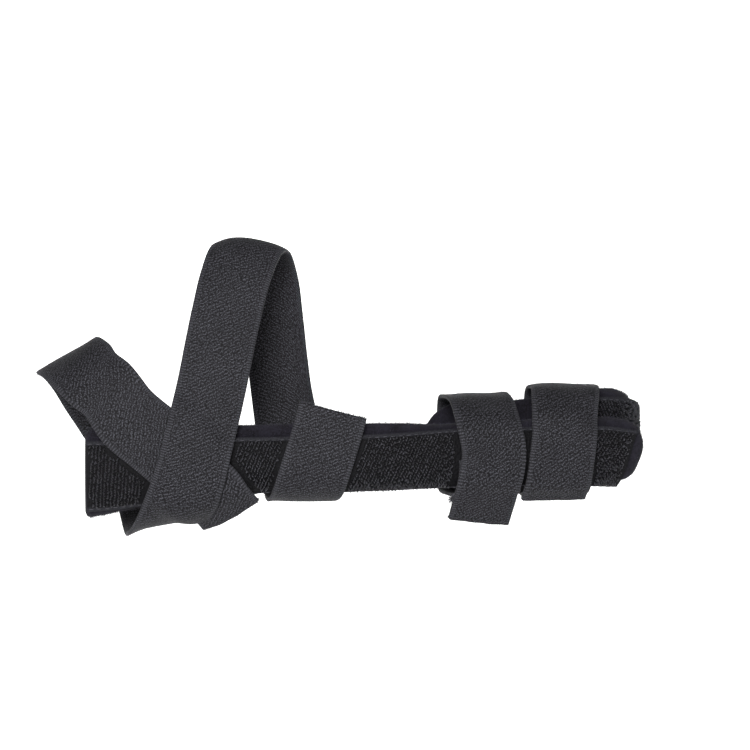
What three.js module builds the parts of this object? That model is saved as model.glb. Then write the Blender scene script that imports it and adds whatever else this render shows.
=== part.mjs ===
// Finger splint for the little finger, as worn: two padded bars with hook tape on their outer faces,
// held by one long wrist and thumb strap and by two short finger straps.
// Millimetres. +X runs from the wrist to the fingertip, +Z from the little-finger edge to the thumb edge,
// and -Y is the side of the back of the hand. The origin is inside the channel, at the finger's knuckle.
import * as THREE from "three";

// Straps and tapes
const STRAP_WIDTH = 20;
const STRAP_THICKNESS = 1.2;
const HOOK_TAPE_WIDTH = 20;
const HOOK_TAPE_THICKNESS = 1.2;
const TOUCH_GAP = 0.35; // between pieces that lie on each other

// Padded bars
const BAR_WIDTH = 27;
const FINGER_BAR_WIDTH = 25;
const BAR_THICKNESS = 4.5;
const BAR_TIP_RADIUS = 11; // corners at the fingertip end of the long bar
const BAR_WRIST_RADIUS = 2.5; // corners at its wrist end
const BAR_EDGE_ROUNDING = 1.5; // how far the cover rounds off along its long edges
const FINGER_BAR_START = 13; // from the knuckle to the finger bar's near end
const FOLD_BACK = 17; // how far the finger bar runs back from its fold, under the long bar
const TAPE_TIP_MARGIN = 4.6; // bare cover past the end of the hook tape, at the fingertip
const TAPE_WRIST_MARGIN = 0.8; // and at the wrist
const TAPE_CORNER_RADIUS = 0.5;

// Straight ends of the straps, past the stretch that lies on the form
const WRIST_STRAP_START_TAIL = 5;
const WRIST_STRAP_END_TAIL = 3;
const BASE_STRAP_TAIL = 11.2; // stands out below the bar
const TIP_STRAP_TAIL = 3.6;

// The hand that wears it
const HAND_REACH = 85.5; // knuckle to the wrist end of the long bar
const FINGER_REACH = 80.5; // knuckle to the fingertip end of the long bar
const HAND_BREADTH = 83; // little-finger edge to thumb web
const HAND_THICKNESS = 32;

const BAR_STACK = BAR_THICKNESS + HOOK_TAPE_THICKNESS + 1.5 * TOUCH_GAP;

// The form is the surface that the straps lie on: the hand, with the bars let into it. A row is a section
// across X. x: share of the hand's reach below zero and of the finger's reach above. low, high, mid: its edges
// and its thickest place, shares of the hand's breadth. near, far: its half thicknesses towards the back of
// the hand and the palm, and away: its centre, shares of the hand's thickness. frontLow, frontHigh, behind:
// how square its quarters are. barBehind: 1 where the finger bar lies behind the finger.
const FORM = [
  { x: -1.5, low: -0.47, high: 0.08, mid: -0.1, near: 0.36, far: 0.6, away: 0.0, frontLow: 2.3, frontHigh: 2.2, behind: 2.2, barBehind: 0 },
  { x: -1.2, low: -0.35, high: 0.27, mid: 0.0, near: 0.38, far: 0.6, away: 0.0, frontLow: 2.4, frontHigh: 2.2, behind: 2.2, barBehind: 0 },
  { x: -1.0, low: -0.275, high: 0.39, mid: 0.05, near: 0.38, far: 0.6, away: 0.0, frontLow: 2.6, frontHigh: 2.2, behind: 2.2, barBehind: 0 },
  { x: -0.85, low: -0.19, high: 0.49, mid: 0.08, near: 0.36, far: 0.58, away: 0.0, frontLow: 2.8, frontHigh: 2.1, behind: 2.2, barBehind: 0 },
  { x: -0.7, low: -0.155, high: 0.61, mid: 0.1, near: 0.33, far: 0.55, away: 0.0, frontLow: 3.0, frontHigh: 2.1, behind: 2.2, barBehind: 0 },
  { x: -0.54, low: -0.12, high: 0.745, mid: 0.1, near: 0.3, far: 0.53, away: 0.0, frontLow: 3.0, frontHigh: 2.1, behind: 2.2, barBehind: 0 },
  { x: -0.4, low: -0.08, high: 0.745, mid: 0.08, near: 0.28, far: 0.5, away: 0.0, frontLow: 3.0, frontHigh: 2.1, behind: 2.2, barBehind: 0 },
  { x: -0.2, low: -0.08, high: 0.5, mid: 0.05, near: 0.26, far: 0.46, away: 0.0, frontLow: 3.0, frontHigh: 2.2, behind: 2.5, barBehind: 0.2 },
  { x: 0.0, low: -0.072, high: 0.31, mid: 0.04, near: 0.25, far: 0.36, away: 0.03, frontLow: 3.2, frontHigh: 2.3, behind: 4.0, barBehind: 0.7 },
  { x: 0.18, low: -0.067, high: 0.2, mid: 0.035, near: 0.25, far: 0.3, away: 0.13, frontLow: 3.5, frontHigh: 2.4, behind: 8, barBehind: 1 },
  { x: 0.35, low: -0.068, high: 0.195, mid: 0.035, near: 0.25, far: 0.28, away: 0.235, frontLow: 3.5, frontHigh: 2.4, behind: 8, barBehind: 1 },
  { x: 0.48, low: -0.068, high: 0.2, mid: 0.045, near: 0.25, far: 0.28, away: 0.32, frontLow: 3.5, frontHigh: 2.4, behind: 8, barBehind: 1 },
  { x: 0.62, low: -0.07, high: 0.23, mid: 0.055, near: 0.26, far: 0.29, away: 0.4, frontLow: 3.5, frontHigh: 2.6, behind: 8, barBehind: 1 },
  { x: 0.8, low: -0.073, high: 0.227, mid: 0.06, near: 0.27, far: 0.3, away: 0.51, frontLow: 3.5, frontHigh: 3.0, behind: 8, barBehind: 1 },
  { x: 1.1, low: -0.07, high: 0.23, mid: 0.06, near: 0.27, far: 0.3, away: 0.7, frontLow: 3.5, frontHigh: 3.0, behind: 8, barBehind: 1 },
];

// Where the long bar's upper edge runs. top: share of the hand's breadth.
const LONG_BAR_EDGE = [
  { x: -1.1, top: 0.095 },
  { x: -0.8, top: 0.1 },
  { x: -0.48, top: 0.103 },
  { x: -0.04, top: 0.113 },
  { x: 0.29, top: 0.129 },
  { x: 0.55, top: 0.135 },
  { x: 0.85, top: 0.137 },
  { x: 1.02, top: 0.115 },
];

// And the finger bar's.
const FINGER_BAR_EDGE = [
  { x: 0.0, top: 0.175 },
  { x: 0.17, top: 0.175 },
  { x: 0.42, top: 0.179 },
  { x: 0.68, top: 0.203 },
  { x: 0.86, top: 0.211 },
  { x: 0.95, top: 0.226 },
  { x: 1.05, top: 0.23 },
];

// The straps' routes over the form. around: 0 at the little-finger edge, 1 at the thumb edge by way of the back
// of the hand, 2 at the little-finger edge again by way of the palm, and so on. lift: height over the form, in
// strap thicknesses.
const WRIST_THUMB_ROUTE = [
  { x: -0.545, around: 0.11, lift: 2 / 3 },
  { x: -0.585, around: 0.177, lift: 1 / 12 },
  { x: -0.688, around: 0.31, lift: 0 },
  { x: -0.785, around: 0.445, lift: 0 },
  { x: -0.845, around: 0.54, lift: 0 },
  { x: -0.912, around: 0.665, lift: 0 },
  { x: -0.99, around: 0.77, lift: 0 },
  { x: -1.09, around: 1.0, lift: 0 },
  { x: -1.05, around: 1.25, lift: 0 },
  { x: -0.94, around: 1.5, lift: 0 },
  { x: -0.84, around: 1.75, lift: 0 },
  { x: -0.75, around: 2.0, lift: 0 },
  { x: -0.68, around: 2.14, lift: 0 },
  { x: -0.63, around: 2.26, lift: 0 },
  { x: -0.577, around: 2.466, lift: 0 },
  { x: -0.538, around: 2.64, lift: 0 },
  { x: -0.5, around: 2.81, lift: 0 },
  { x: -0.45, around: 3.0, lift: 0 },
  { x: -0.4, around: 3.2, lift: 0 },
  { x: -0.36, around: 3.45, lift: 0 },
  { x: -0.325, around: 3.7, lift: 0 },
  { x: -0.28, around: 4.0, lift: 0 },
  { x: -0.232, around: 4.2, lift: 0 },
  { x: -0.205, around: 4.31, lift: 0 },
  { x: -0.18, around: 4.42, lift: 0 },
  { x: -0.165, around: 4.5, lift: 0 },
];
const FINGER_BASE_ROUTE = [
  { x: 0.408, around: 0.42, lift: 0 },
  { x: 0.402, around: 0.25, lift: 0 },
  { x: 0.388, around: 0.1, lift: 0 },
  { x: 0.366, around: -0.05, lift: 0 },
  { x: 0.347, around: -0.3, lift: 0 },
  { x: 0.345, around: -0.65, lift: 0 },
  { x: 0.36, around: -1.0, lift: 0 },
  { x: 0.385, around: -1.25, lift: 0 },
  { x: 0.41, around: -1.5, lift: 0 },
  { x: 0.406, around: -1.62, lift: 0 },
  { x: 0.396, around: -1.7, lift: 0 },
  { x: 0.391, around: -1.74, lift: 0 },
];
const FINGER_TIP_ROUTE = [
  { x: 0.674, around: 0.42, lift: 0 },
  { x: 0.664, around: 0.22, lift: 0 },
  { x: 0.655, around: 0.05, lift: 0 },
  { x: 0.66, around: -0.3, lift: 0 },
  { x: 0.685, around: -0.65, lift: 0 },
  { x: 0.708, around: -1.0, lift: 0 },
  { x: 0.69, around: -1.25, lift: 0 },
  { x: 0.674, around: -1.5, lift: 0 },
  { x: 0.66, around: -1.66, lift: 0 },
  { x: 0.65, around: -1.76, lift: 0 },
  { x: 0.648, around: -1.79, lift: 0 },
];

const STEP_ALONG = 4.5; // between sections of a strap or bar
const SECTION_SPACING = 2.5; // degrees between two points of a section of the form
const OVERLAP_MARGIN = 1; // how far past a strap's edge the strap over it is fully raised
const OVERLAP_RAMP = 5; // and from there to where it lies on the form again
const NUDGE = 0.05; // for slopes measured on the form along X
const SMOOTHING_REACH = 1; // and round a section, over its facets
const BEND_REACH = 0.5; // and along the finger bar

const HALF_SECTION_POINTS = Math.round(180 / SECTION_SPACING);
const SECTION_POINTS = 2 * HALF_SECTION_POINTS;

// X in millimetres of a share of the reach.
const alongHand = (share) => share * (share < 0 ? HAND_REACH : FINGER_REACH);

// A smooth curve through the rows' values of one column, read at the place "at" in the column "by".
function smoothColumn(rows, by, column, at) {
  let i = 1;
  while (i < rows.length - 2 && rows[i + 1][by] < at) i += 1;
  if (at < rows[1][by]) i = 0;
  const [a, b] = [rows[i], rows[i + 1]];
  const before = rows[Math.max(i - 1, 0)];
  const after = rows[Math.min(i + 2, rows.length - 1)];
  const span = b[by] - a[by];
  const t = THREE.MathUtils.clamp((at - a[by]) / span, 0, 1);
  const slopeA = ((b[column] - before[column]) / (b[by] - before[by])) * span;
  const slopeB = ((after[column] - a[column]) / (after[by] - a[by])) * span;
  const square = t * t;
  const cube = square * t;
  return (
    (2 * cube - 3 * square + 1) * a[column] +
    (cube - 2 * square + t) * slopeA +
    (3 * square - 2 * cube) * b[column] +
    (cube - square) * slopeB
  );
}

// One section of the form at x: a closed line that starts at the little-finger edge and goes round by way of
// the back of the hand, with the length to each of its points and to the thumb edge.
const sections = new Map();
function sectionAt(x) {
  const key = Math.round(x * 1e4);
  if (sections.has(key)) return sections.get(key);
  const share = x / (x < 0 ? HAND_REACH : FINGER_REACH);
  const read = (column) => smoothColumn(FORM, "x", column, share);
  const middle = read("mid") * HAND_BREADTH;
  const down = middle - (read("low") * HAND_BREADTH - BAR_STACK);
  const up = read("high") * HAND_BREADTH - middle;
  const near = read("near") * HAND_THICKNESS + BAR_STACK;
  const far = read("far") * HAND_THICKNESS + read("barBehind") * BAR_STACK;
  const centre = read("away") * HAND_THICKNESS;
  const points = [];
  const lengths = [0];
  for (let k = 0; k <= SECTION_POINTS; k += 1) {
    const angle = (2 * Math.PI * k) / SECTION_POINTS;
    const [sine, cosine] = [Math.sin(angle), Math.cos(angle)];
    const depth = sine > 0 ? near : far;
    const height = cosine > 0 ? down : up;
    const front = cosine > 0 ? read("frontLow") : read("frontHigh");
    const power = sine > 0 ? front : read("behind");
    const reach = (Math.abs(sine / depth) ** power + Math.abs(cosine / height) ** power) ** (-1 / power);
    points.push([centre - reach * sine, middle - reach * cosine]);
    if (k > 0) lengths.push(lengths[k - 1] + Math.hypot(points[k][0] - points[k - 1][0], points[k][1] - points[k - 1][1]));
  }
  const made = { points, lengths, front: lengths[HALF_SECTION_POINTS], round: lengths[SECTION_POINTS] };
  sections.set(key, made);
  return made;
}

// The point of the form at x, at the length s round its section.
function formPoint(x, s) {
  const { points, lengths, round } = sectionAt(x);
  const at = THREE.MathUtils.euclideanModulo(s, round);
  let [low, high] = [0, SECTION_POINTS];
  while (high - low > 1) {
    const middle = (low + high) >> 1;
    if (lengths[middle] > at) high = middle;
    else low = middle;
  }
  const t = (at - lengths[low]) / (lengths[high] - lengths[low]);
  const [a, b] = [points[low], points[high]];
  return new THREE.Vector3(x, a[0] + t * (b[0] - a[0]), a[1] + t * (b[1] - a[1]));
}

// The form's slopes along X and round the section, and its outward normal.
function formFrame(x, s) {
  const reach = SMOOTHING_REACH;
  const along = formPoint(x + NUDGE, s).sub(formPoint(x - NUDGE, s)).divideScalar(2 * NUDGE);
  const around = formPoint(x, s + reach).sub(formPoint(x, s - reach)).divideScalar(2 * reach);
  const normal = new THREE.Vector3().crossVectors(along, around).normalize();
  return { along, around, normal };
}

// The length round the section at x of a place on a route.
function lengthOf(x, around) {
  const { front, round } = sectionAt(x);
  const turn = Math.floor((around + 0.5) / 2); // measured from the nearest pass of the little-finger edge
  const rest = around - 2 * turn;
  if (rest < 0) return rest * (round - front);
  return rest <= 1 ? rest * front : front + (rest - 1) * (round - front);
}

// The length round the section at x of the place at height z on the back of the hand.
function lengthAtHeight(x, z) {
  const { points, lengths } = sectionAt(x);
  let k = 1;
  while (k < HALF_SECTION_POINTS && points[k][1] < z) k += 1;
  const t = (z - points[k - 1][1]) / (points[k][1] - points[k - 1][1]);
  return lengths[k - 1] + t * (lengths[k] - lengths[k - 1]);
}

// A closed sheet between two grids of points, rows along it and columns across it.
function closedSheet(outer, inner) {
  const rows = outer.length;
  const columns = outer[0].length;
  const positions = [...outer.flat(), ...inner.flat()].flatMap((p) => [p.x, p.y, p.z]);
  const index = [];
  const at = (layer, i, j) => layer * rows * columns + i * columns + j;
  const quad = (a, b, c, d) => index.push(a, b, c, a, c, d);
  for (let i = 0; i < rows - 1; i += 1) {
    for (let j = 0; j < columns - 1; j += 1) {
      quad(at(0, i, j), at(0, i + 1, j), at(0, i + 1, j + 1), at(0, i, j + 1));
      quad(at(1, i, j), at(1, i, j + 1), at(1, i + 1, j + 1), at(1, i + 1, j));
    }
    quad(at(0, i, 0), at(1, i, 0), at(1, i + 1, 0), at(0, i + 1, 0));
    quad(at(0, i, columns - 1), at(0, i + 1, columns - 1), at(1, i + 1, columns - 1), at(1, i, columns - 1));
  }
  for (let j = 0; j < columns - 1; j += 1) {
    quad(at(0, 0, j), at(0, 0, j + 1), at(1, 0, j + 1), at(1, 0, j));
    quad(at(0, rows - 1, j), at(1, rows - 1, j), at(1, rows - 1, j + 1), at(0, rows - 1, j + 1));
  }
  const [a, b, c] = [new THREE.Vector3(), new THREE.Vector3(), new THREE.Vector3()];
  let volume = 0;
  for (let k = 0; k < index.length; k += 3) {
    a.fromArray(positions, index[k] * 3);
    b.fromArray(positions, index[k + 1] * 3);
    c.fromArray(positions, index[k + 2] * 3);
    volume += a.dot(b.cross(c));
  }
  if (volume < 0) index.reverse();
  const geometry = new THREE.BufferGeometry();
  geometry.setAttribute("position", new THREE.Float32BufferAttribute(positions, 3));
  geometry.setIndex(index);
  geometry.computeVertexNormals();
  return geometry;
}

// The row of points that lies straight on past the last one, all in one direction.
function straightOn(before, last, length) {
  const middle = (last.length - 1) / 2;
  const direction = last[middle].clone().sub(before[middle]).normalize();
  return last.map((point) => point.clone().addScaledVector(direction, length));
}

// A strap along a route. Where it comes back over itself, the later stretch lies on the earlier one.
function strap(route, step, { startTail = 0, endTail = 0 } = {}) {
  const columns = 7;
  const spots = [];
  const finest = 24; // points between two rows of the route
  const rows = route.map((row, place) => ({ ...row, place }));
  for (let k = 0; k <= (rows.length - 1) * finest; k += 1) {
    const read = (column) => smoothColumn(rows, "place", column, k / finest);
    const x = alongHand(read("x"));
    const s = lengthOf(x, read("around"));
    const { normal } = formFrame(x, s);
    spots.push({ x, s, lift: read("lift"), point: formPoint(x, s), normal });
  }
  let total = 0;
  spots.forEach((spot, k) => {
    if (k > 0) total += spot.point.distanceTo(spots[k - 1].point);
    spot.length = total;
  });
  const count = Math.round(total / step);
  const chosen = [];
  for (let i = 0; i <= count; i += 1) {
    const length = (total * i) / count;
    chosen.push(spots.reduce((best, spot) => (Math.abs(spot.length - length) < Math.abs(best.length - length) ? spot : best)));
  }
  const outer = [];
  const inner = [];
  chosen.forEach((spot, i) => {
    const ahead = chosen[Math.min(i + 1, count)].point;
    const behind = chosen[Math.max(i - 1, 0)].point;
    const across = new THREE.Vector3().crossVectors(spot.normal, ahead.clone().sub(behind)).normalize();
    const { along, around } = formFrame(spot.x, spot.s);
    const [aa, ab, bb] = [along.dot(along), along.dot(around), around.dot(around)];
    const [ca, cb] = [across.dot(along), across.dot(around)];
    const perX = (ca * bb - cb * ab) / (aa * bb - ab * ab);
    const perS = (cb * aa - ca * ab) / (aa * bb - ab * ab);
    const below = spots.filter((other) => other.length < spot.length - 1.6 * STRAP_WIDTH);
    const outerRow = [];
    const innerRow = [];
    for (let j = 0; j < columns; j += 1) {
      const t = STRAP_WIDTH * (j / (columns - 1) - 0.5);
      const [x, s] = [spot.x + t * perX, spot.s + t * perS];
      const base = formPoint(x, s);
      const { normal } = formFrame(x, s);
      const clear = Math.min(...below.map((other) => other.point.distanceTo(base)), 1e3);
      const rise = THREE.MathUtils.smoothstep(STRAP_WIDTH / 2 + OVERLAP_MARGIN + OVERLAP_RAMP - clear, 0, OVERLAP_RAMP);
      const height = TOUCH_GAP + spot.lift * STRAP_THICKNESS + rise * (STRAP_THICKNESS + TOUCH_GAP);
      innerRow.push(base.clone().addScaledVector(normal, height));
      outerRow.push(base.clone().addScaledVector(normal, height + STRAP_THICKNESS));
    }
    outer.push(outerRow);
    inner.push(innerRow);
  });
  for (const sheet of [outer, inner]) {
    if (endTail > 0) sheet.push(straightOn(sheet[sheet.length - 2], sheet[sheet.length - 1], endTail));
    if (startTail > 0) sheet.unshift(straightOn(sheet[1], sheet[0], startTail));
  }
  return closedSheet(outer, inner);
}

// Places from start to end, closer together where a corner of the given radius rounds each end.
function placesAlong(start, end, startRadius, endRadius, step = STEP_ALONG) {
  const places = [];
  const corner = 5;
  for (let k = 0; k < corner; k += 1) places.push(start + startRadius * (1 - Math.cos((k / corner) * (Math.PI / 2))));
  const count = Math.ceil((end - start - startRadius - endRadius) / step);
  for (let k = 0; k <= count; k += 1) places.push(start + startRadius + ((end - start - startRadius - endRadius) * k) / count);
  for (let k = corner - 1; k >= 0; k -= 1) places.push(end - endRadius * (1 - Math.cos((k / corner) * (Math.PI / 2))));
  return places;
}

// How much narrower one side of a strip is, at a distance from its end, where its corner is round.
function cornerCut(distance, radius) {
  if (distance >= radius) return 0;
  return radius - Math.sqrt(Math.max(radius ** 2 - (radius - distance) ** 2, 0));
}

// A strip let into the form along the long bar's line, from start to end, between two depths under its surface.
function barStrip({ start, end, startRadius, endRadius, width, top, bottom, rounding, columns }) {
  const outer = [];
  const inner = [];
  placesAlong(start, end, startRadius, endRadius).forEach((x) => {
    const share = x / (x < 0 ? HAND_REACH : FINGER_REACH);
    const upper = lengthAtHeight(x, smoothColumn(LONG_BAR_EDGE, "x", "top", share) * HAND_BREADTH);
    const middle = upper - BAR_WIDTH / 2;
    const half = width / 2 - cornerCut(x - start, startRadius) - cornerCut(end - x, endRadius);
    const outerRow = [];
    const innerRow = [];
    for (let j = 0; j < columns; j += 1) {
      const t = -Math.cos((Math.PI * j) / (columns - 1));
      const s = middle + half * t;
      const base = formPoint(x, s);
      const { normal } = formFrame(x, s);
      const drop = rounding * t ** 8;
      outerRow.push(base.clone().addScaledVector(normal, -top - drop));
      innerRow.push(base.clone().addScaledVector(normal, -bottom + drop));
    }
    outer.push(outerRow);
    inner.push(innerRow);
  });
  return closedSheet(outer, inner);
}

const LONG_BAR_ENDS = { start: -HAND_REACH, end: FINGER_REACH };
const COVER_TOP = HOOK_TAPE_THICKNESS + 1.5 * TOUCH_GAP; // depth of a bar's cover under the straps

const longBar = barStrip({
  ...LONG_BAR_ENDS,
  startRadius: BAR_WRIST_RADIUS,
  endRadius: BAR_TIP_RADIUS,
  width: BAR_WIDTH,
  top: COVER_TOP,
  bottom: COVER_TOP + BAR_THICKNESS,
  rounding: BAR_EDGE_ROUNDING,
  columns: 9,
});

const longBarTape = barStrip({
  start: LONG_BAR_ENDS.start + TAPE_WRIST_MARGIN,
  end: LONG_BAR_ENDS.end - TAPE_TIP_MARGIN,
  startRadius: TAPE_CORNER_RADIUS,
  endRadius: TAPE_CORNER_RADIUS,
  width: HOOK_TAPE_WIDTH,
  top: 0,
  bottom: HOOK_TAPE_THICKNESS,
  rounding: 0,
  columns: 9,
});

// The finger bar: its line runs along behind the finger, round the fingertip and back under the long bar,
// in the face that the straps lie on.
// fall: how far its upper corner drops in the fold. cup: how far its edges bend towards the finger.
const FOLD_CORNER_FALL = 4.5;
const FINGER_BAR_CUP = 1.6;

function fingerBarLine() {
  const centreOf = (x) => smoothColumn(FORM, "x", "away", x / FINGER_REACH) * HAND_THICKNESS;
  const depthOf = (column, x) => smoothColumn(FORM, "x", column, x / FINGER_REACH) * HAND_THICKNESS;
  const behind = (x) => depthOf("far", x) + BAR_STACK - TOUCH_GAP; // from the form's centre to the tape's face
  const before = (x) => -(depthOf("near", x) - 5 * TOUCH_GAP);
  const foldAt = FINGER_REACH * 0.85;
  const radius = (behind(foldAt) - before(foldAt)) / 2;
  const turnX = FINGER_REACH - radius;
  const line = [];
  const legs = Math.round((turnX - FINGER_BAR_START) / STEP_ALONG);
  for (let k = 0; k <= legs; k += 1) {
    const x = FINGER_BAR_START + ((turnX - FINGER_BAR_START) * k) / legs;
    line.push({ x, depth: behind(x), fold: 0 });
  }
  const turns = 12;
  for (let k = 1; k < turns; k += 1) {
    const angle = (Math.PI * k) / turns;
    const depth = behind(turnX) - radius + radius * Math.cos(angle);
    line.push({ x: turnX + radius * Math.sin(angle), depth, fold: Math.sin(angle) });
  }
  const back = Math.round(FOLD_BACK / STEP_ALONG);
  for (let k = 0; k <= back; k += 1) {
    const x = turnX - (FOLD_BACK * k) / back;
    line.push({ x, depth: before(x), fold: 0 });
  }
  line.forEach((spot) => {
    spot.y = centreOf(spot.x) + spot.depth;
  });
  let length = 0;
  line.forEach((spot, k) => {
    if (k > 0) length += Math.hypot(spot.x - line[k - 1].x, spot.y - line[k - 1].y);
    spot.length = length;
  });
  return line;
}

// A strip of the finger bar between two heights over its line, cut back at both ends.
function fingerStrip({ width, low, high, endCut, startRadius, endRadius, rounding, columns }) {
  const line = fingerBarLine();
  const total = line[line.length - 1].length;
  const outer = [];
  const inner = [];
  const read = (column, at) => smoothColumn(line, "length", column, at);
  placesAlong(endCut, total - endCut, startRadius, endRadius, STEP_ALONG * 0.7).forEach((at) => {
    const [x, y] = [read("x", at), read("y", at)];
    const ahead = Math.min(at + BEND_REACH, total);
    const behind = Math.max(at - BEND_REACH, 0);
    const normal = new THREE.Vector3(read("y", behind) - read("y", ahead), read("x", ahead) - read("x", behind), 0).normalize();
    const place = at < total / 2 ? x / FINGER_REACH : 1;
    const top = smoothColumn(FINGER_BAR_EDGE, "x", "top", place) * HAND_BREADTH;
    const fall = Math.max(read("fold", at), 0) ** 3 * FOLD_CORNER_FALL;
    const flatter = 1 - 0.7 * THREE.MathUtils.smoothstep(at / total, 0.4, 0.8);
    const half = width / 2 - cornerCut(at - endCut, startRadius) - cornerCut(total - endCut - at, endRadius);
    const outerRow = [];
    const innerRow = [];
    for (let j = 0; j < columns; j += 1) {
      const t = -Math.cos((Math.PI * j) / (columns - 1));
      const across = (half * t) / (FINGER_BAR_WIDTH / 2);
      const bend = -FINGER_BAR_CUP * across ** 2 * flatter;
      const z = top - FINGER_BAR_WIDTH / 2 + half * t - fall * Math.max(across, 0) ** 2;
      const drop = rounding * t ** 8;
      const base = new THREE.Vector3(x, y, z);
      outerRow.push(base.clone().addScaledVector(normal, bend + high - drop));
      innerRow.push(base.clone().addScaledVector(normal, bend + low + drop));
    }
    outer.push(outerRow);
    inner.push(innerRow);
  });
  return closedSheet(outer, inner);
}

const fingerBar = fingerStrip({
  width: FINGER_BAR_WIDTH,
  low: -COVER_TOP - BAR_THICKNESS,
  high: -COVER_TOP,
  endCut: 0,
  startRadius: BAR_TIP_RADIUS,
  endRadius: BAR_WRIST_RADIUS,
  rounding: BAR_EDGE_ROUNDING,
  columns: 9,
});

const fingerBarTape = fingerStrip({
  width: HOOK_TAPE_WIDTH,
  low: -HOOK_TAPE_THICKNESS,
  high: 0,
  endCut: TAPE_TIP_MARGIN,
  startRadius: TAPE_CORNER_RADIUS,
  endRadius: TAPE_CORNER_RADIUS,
  rounding: 0,
  columns: 9,
});

const webbing = new THREE.MeshStandardMaterial({ color: "#2b2b2e", roughness: 0.85, metalness: 0 });
const plush = new THREE.MeshStandardMaterial({ color: "#22212b", roughness: 0.95, metalness: 0 });
const hookTape = new THREE.MeshStandardMaterial({ color: "#19191d", roughness: 0.7, metalness: 0 });

const splint = new THREE.Group();
const add = (name, geometry, material) => {
  const mesh = new THREE.Mesh(geometry, material);
  mesh.name = name;
  splint.add(mesh);
};
add("long_bar", longBar, plush);
add("long_bar_hook_tape", longBarTape, hookTape);
add("finger_bar", fingerBar, plush);
add("finger_bar_hook_tape", fingerBarTape, hookTape);
const wristTails = { startTail: WRIST_STRAP_START_TAIL, endTail: WRIST_STRAP_END_TAIL };
add("wrist_thumb_strap", strap(WRIST_THUMB_ROUTE, STEP_ALONG * 0.8, wristTails), webbing);
add("finger_strap_base", strap(FINGER_BASE_ROUTE, STEP_ALONG / 2, { endTail: BASE_STRAP_TAIL }), webbing);
add("finger_strap_tip", strap(FINGER_TIP_ROUTE, STEP_ALONG / 2, { endTail: TIP_STRAP_TAIL }), webbing);

export default splint;
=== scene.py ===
"""Dresses the finger splint: padded plush bars, hook tape with its hooks, and woven loop straps.

Lengths here are millimetres, in the CAD's frame, and are turned to metres where a mesh is made. +X runs from
the wrist end to the tip end, -Y is the side that the camera sees, and +Z points to the high loop.
"""
import math

import bpy
import numpy as np
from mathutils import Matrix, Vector

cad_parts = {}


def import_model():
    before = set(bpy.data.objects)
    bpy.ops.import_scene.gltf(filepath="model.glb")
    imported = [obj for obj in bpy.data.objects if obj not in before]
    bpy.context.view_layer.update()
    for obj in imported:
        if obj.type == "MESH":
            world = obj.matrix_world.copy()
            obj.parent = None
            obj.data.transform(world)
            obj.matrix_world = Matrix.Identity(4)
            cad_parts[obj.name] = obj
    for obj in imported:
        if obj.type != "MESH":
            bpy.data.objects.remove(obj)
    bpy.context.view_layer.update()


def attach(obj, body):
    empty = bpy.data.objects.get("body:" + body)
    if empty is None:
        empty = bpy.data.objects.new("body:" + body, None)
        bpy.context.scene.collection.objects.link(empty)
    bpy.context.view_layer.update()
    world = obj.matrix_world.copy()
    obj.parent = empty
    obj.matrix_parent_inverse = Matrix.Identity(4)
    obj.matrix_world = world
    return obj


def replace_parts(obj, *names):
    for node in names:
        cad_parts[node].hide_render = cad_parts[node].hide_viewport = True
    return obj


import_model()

MM = 0.001

# Straps and tapes
STRAP_WIDTH = 20.0
STRAP_THICKNESS = 1.2
TAPE_WIDTH = 20.0
TAPE_THICKNESS = 1.2
TOUCH_GAP = 0.35
TAPE_CORNER_RADIUS = 0.5
# How deep the woven ground and the hooks' feet lie under the tapes' outer plane
TAPE_FACE_DEPTH = 0.62
HOOK_FOOT_DEPTH = 0.66
# Straight ends of the straps, past the stretch that lies on the form
WRIST_START_TAIL = 5.0
WRIST_END_TAIL = 2.2
BASE_END_TAIL = 11.2
TIP_END_TAIL = 2.2

# Padded bars
BAR_WIDTH = 27.0
FINGER_BAR_WIDTH = 25.0
BAR_THICKNESS = 4.5
BAR_TIP_RADIUS = 11.0
BAR_WRIST_RADIUS = 2.5
FINGER_BAR_START = 13.0
FOLD_BACK = 17.0
TAPE_TIP_MARGIN = 4.6
TAPE_WRIST_MARGIN = 0.8
# The long bar's tip: its slant, how far it goes on, how much its lower edge falls, and over what length.
# Its wrist end: how much lower it is and, as a share, how much wider
TIP_SLANT = 8.7
TIP_OVER = 3.7
TIP_WIDER = 1.5
TIP_SLANT_REACH = 26.0
WRIST_DROP = 1.0
WRIST_WIDER = 0.05

# Threads, hairs and stitches
STITCH_LINE = 9.1
STITCH_PITCH = 2.3
NAP_PER_MM2 = 3.0
FUZZ_PER_MM2 = 1.2

# Hooks
HOOK_ROW = 1.02
HOOK_PITCH = 0.76
HOOK_HEIGHT = 0.95
HOOK_REACH = 0.3
HOOK_RADIUS = 0.18
HOOK_CLEARANCE = 1.5
HOOK_FIELD_HALF = 8.7

# The form that the straps lie on
WRIST_REACH = 85.5
FINGER_REACH = 80.5
FORM_BREADTH = 83.0
FORM_DEPTH = 32.0
BAR_STACK = BAR_THICKNESS + TAPE_THICKNESS + 1.5 * TOUCH_GAP
COVER_TOP = TAPE_THICKNESS + 1.5 * TOUCH_GAP

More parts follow.
